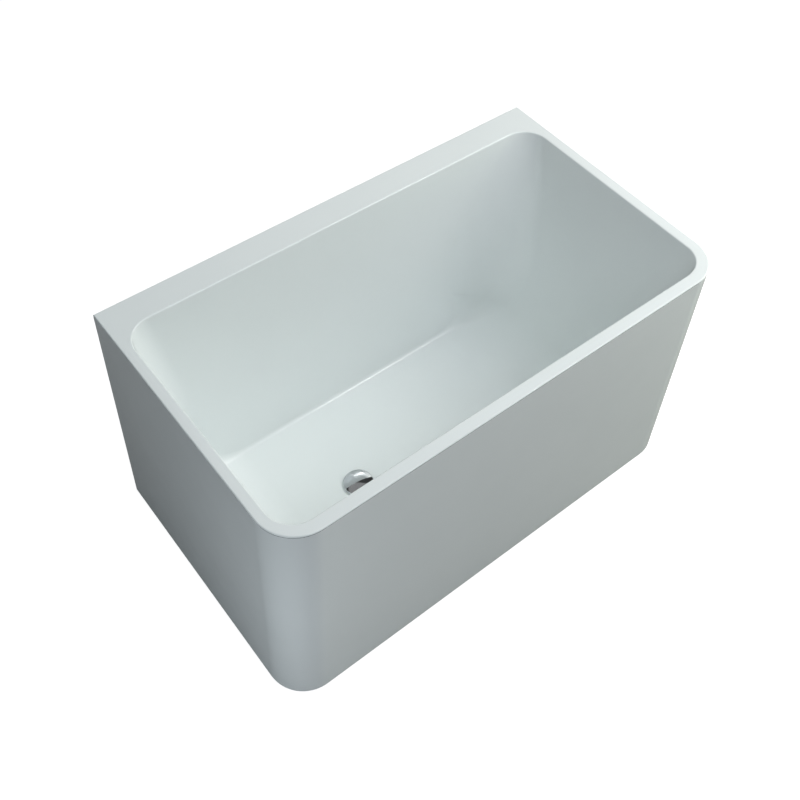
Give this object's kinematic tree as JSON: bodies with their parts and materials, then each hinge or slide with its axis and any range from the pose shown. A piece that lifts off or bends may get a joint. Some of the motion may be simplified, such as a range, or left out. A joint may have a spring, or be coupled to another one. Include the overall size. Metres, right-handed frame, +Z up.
{
  "type": "freestanding bathtub",
  "caption": "Back-to-wall freestanding soaking tub with rounded front corners, wide back deck, sloping backrest, pop-up waste, and a steel cradle on levelling feet.",
  "frame": {"origin": "centre of the plan outline, on the floor under the feet at rest", "axes": "+X runs along the tub from the drain end to the backrest end, +Y points at the wall behind the tub, +Z is up"},
  "size_m": [1.2, 0.7, 0.675],
  "materials": {
    "acrylic": "gloss white cast acrylic sheet",
    "glass_fibre_laminate": "sprayed glass fibre and resin, rolled by hand",
    "adhesive": "cured grey structural adhesive",
    "plywood": "bare birch plywood",
    "coated_steel": "grey powder coat on welded steel tube",
    "cap_plastic": "moulded black polyethylene",
    "zinc_steel": "bright zinc plate",
    "foot_plastic": "black moulded elastomer",
    "chrome_plate": "polished chrome plate on brass",
    "seal_rubber": "moulded black rubber",
    "washer_plastic": "white nylon slip washer",
    "brass": "turned brass",
    "spring_steel": "stainless spring wire"
  },
  "bodies": {
    "tub": {"inner_shell": "acrylic", "outer_skirt": "acrylic", "basin_laminate": "glass_fibre_laminate", "rim_bond": "adhesive", "base_board": "plywood", "deck_batten": "plywood", "front_skirt_batten": "plywood", "left_skirt_batten": "plywood", "right_skirt_batten": "plywood", "waste_body": "chrome_plate", "waste_top_gasket": "seal_rubber", "waste_bottom_gasket": "seal_rubber", "waste_slip_washer": "washer_plastic", "waste_back_nut": "brass", "latch_cartridge": "brass", "latch_spring": "spring_steel", "front_long_rail": "coated_steel", "back_long_rail": "coated_steel", "left_cross_rail": "coated_steel", "right_cross_rail": "coated_steel", "middle_cross_rail": "coated_steel", "left_post": "coated_steel", "right_post": "coated_steel", "left_front_end_cap": "cap_plastic", "right_front_end_cap": "cap_plastic", "left_back_end_cap": "cap_plastic", "right_back_end_cap": "cap_plastic", "left_bracket": "zinc_steel", "right_bracket": "zinc_steel", "front_left_bracket": "zinc_steel", "front_right_bracket": "zinc_steel", "front_middle_bracket": "zinc_steel", "bracket_screws": "zinc_steel", "board_screws": "zinc_steel", "post_screws": "zinc_steel", "front_left_lock_nut": "zinc_steel", "front_left_weld_nut": "zinc_steel", "front_right_lock_nut": "zinc_steel", "front_right_weld_nut": "zinc_steel", "back_left_lock_nut": "zinc_steel", "back_left_weld_nut": "zinc_steel", "back_right_lock_nut": "zinc_steel", "back_right_weld_nut": "zinc_steel", "middle_lock_nut": "zinc_steel", "middle_weld_nut": "zinc_steel"},
    "plug": {"popup_cap": "chrome_plate", "plug_seal": "seal_rubber", "plug_stem": "brass"},
    "front_left_foot": {"front_left_foot_pad": "foot_plastic"},
    "front_left_stud": {"front_left_foot_stud": "zinc_steel"},
    "front_right_foot": {"front_right_foot_pad": "foot_plastic"},
    "front_right_stud": {"front_right_foot_stud": "zinc_steel"},
    "back_left_foot": {"back_left_foot_pad": "foot_plastic"},
    "back_left_stud": {"back_left_foot_stud": "zinc_steel"},
    "back_right_foot": {"back_right_foot_pad": "foot_plastic"},
    "back_right_stud": {"back_right_foot_stud": "zinc_steel"},
    "middle_foot": {"middle_foot_pad": "foot_plastic"},
    "middle_stud": {"middle_foot_stud": "zinc_steel"}
  },
  "joints": [
    {"name": "plug_lift", "type": "slide", "parent": "tub", "child": "plug", "axis": [0, 0, 1], "range_m": [0, 0.009], "deforming": ["latch_spring"]},
    {"name": "front_left_foot_height", "type": "slide", "parent": "tub", "child": "front_left_foot", "axis": [0, 0, -1], "range_m": [-0.006, 0.02]},
    {"name": "front_left_foot_turn", "type": "hinge", "parent": "front_left_foot", "child": "front_left_stud", "pos_m": [-0.47, -0.255, 0.03], "axis": [0, 0, -1], "range_deg": [-1235, 4115]},
    {"name": "front_right_foot_height", "type": "slide", "parent": "tub", "child": "front_right_foot", "axis": [0, 0, -1], "range_m": [-0.006, 0.02]},
    {"name": "front_right_foot_turn", "type": "hinge", "parent": "front_right_foot", "child": "front_right_stud", "pos_m": [0.47, -0.255, 0.03], "axis": [0, 0, -1], "range_deg": [-1235, 4115]},
    {"name": "back_left_foot_height", "type": "slide", "parent": "tub", "child": "back_left_foot", "axis": [0, 0, -1], "range_m": [-0.006, 0.02]},
    {"name": "back_left_foot_turn", "type": "hinge", "parent": "back_left_foot", "child": "back_left_stud", "pos_m": [-0.47, 0.28, 0.03], "axis": [0, 0, -1], "range_deg": [-1235, 4115]},
    {"name": "back_right_foot_height", "type": "slide", "parent": "tub", "child": "back_right_foot", "axis": [0, 0, -1], "range_m": [-0.006, 0.02]},
    {"name": "back_right_foot_turn", "type": "hinge", "parent": "back_right_foot", "child": "back_right_stud", "pos_m": [0.47, 0.28, 0.03], "axis": [0, 0, -1], "range_deg": [-1235, 4115]},
    {"name": "middle_foot_height", "type": "slide", "parent": "tub", "child": "middle_foot", "axis": [0, 0, -1], "range_m": [-0.006, 0.02]},
    {"name": "middle_foot_turn", "type": "hinge", "parent": "middle_foot", "child": "middle_stud", "pos_m": [0.06, -0.0226, 0.03], "axis": [0, 0, -1], "range_deg": [-1235, 4115]}
  ],
  "couplings": [
    {"joint": "front_left_foot_turn", "follows": "front_left_foot_height", "rad_per_m": 3590.4},
    {"joint": "front_right_foot_turn", "follows": "front_right_foot_height", "rad_per_m": 3590.4},
    {"joint": "back_left_foot_turn", "follows": "back_left_foot_height", "rad_per_m": 3590.4},
    {"joint": "back_right_foot_turn", "follows": "back_right_foot_height", "rad_per_m": 3590.4},
    {"joint": "middle_foot_turn", "follows": "middle_foot_height", "rad_per_m": 3590.4}
  ]
}
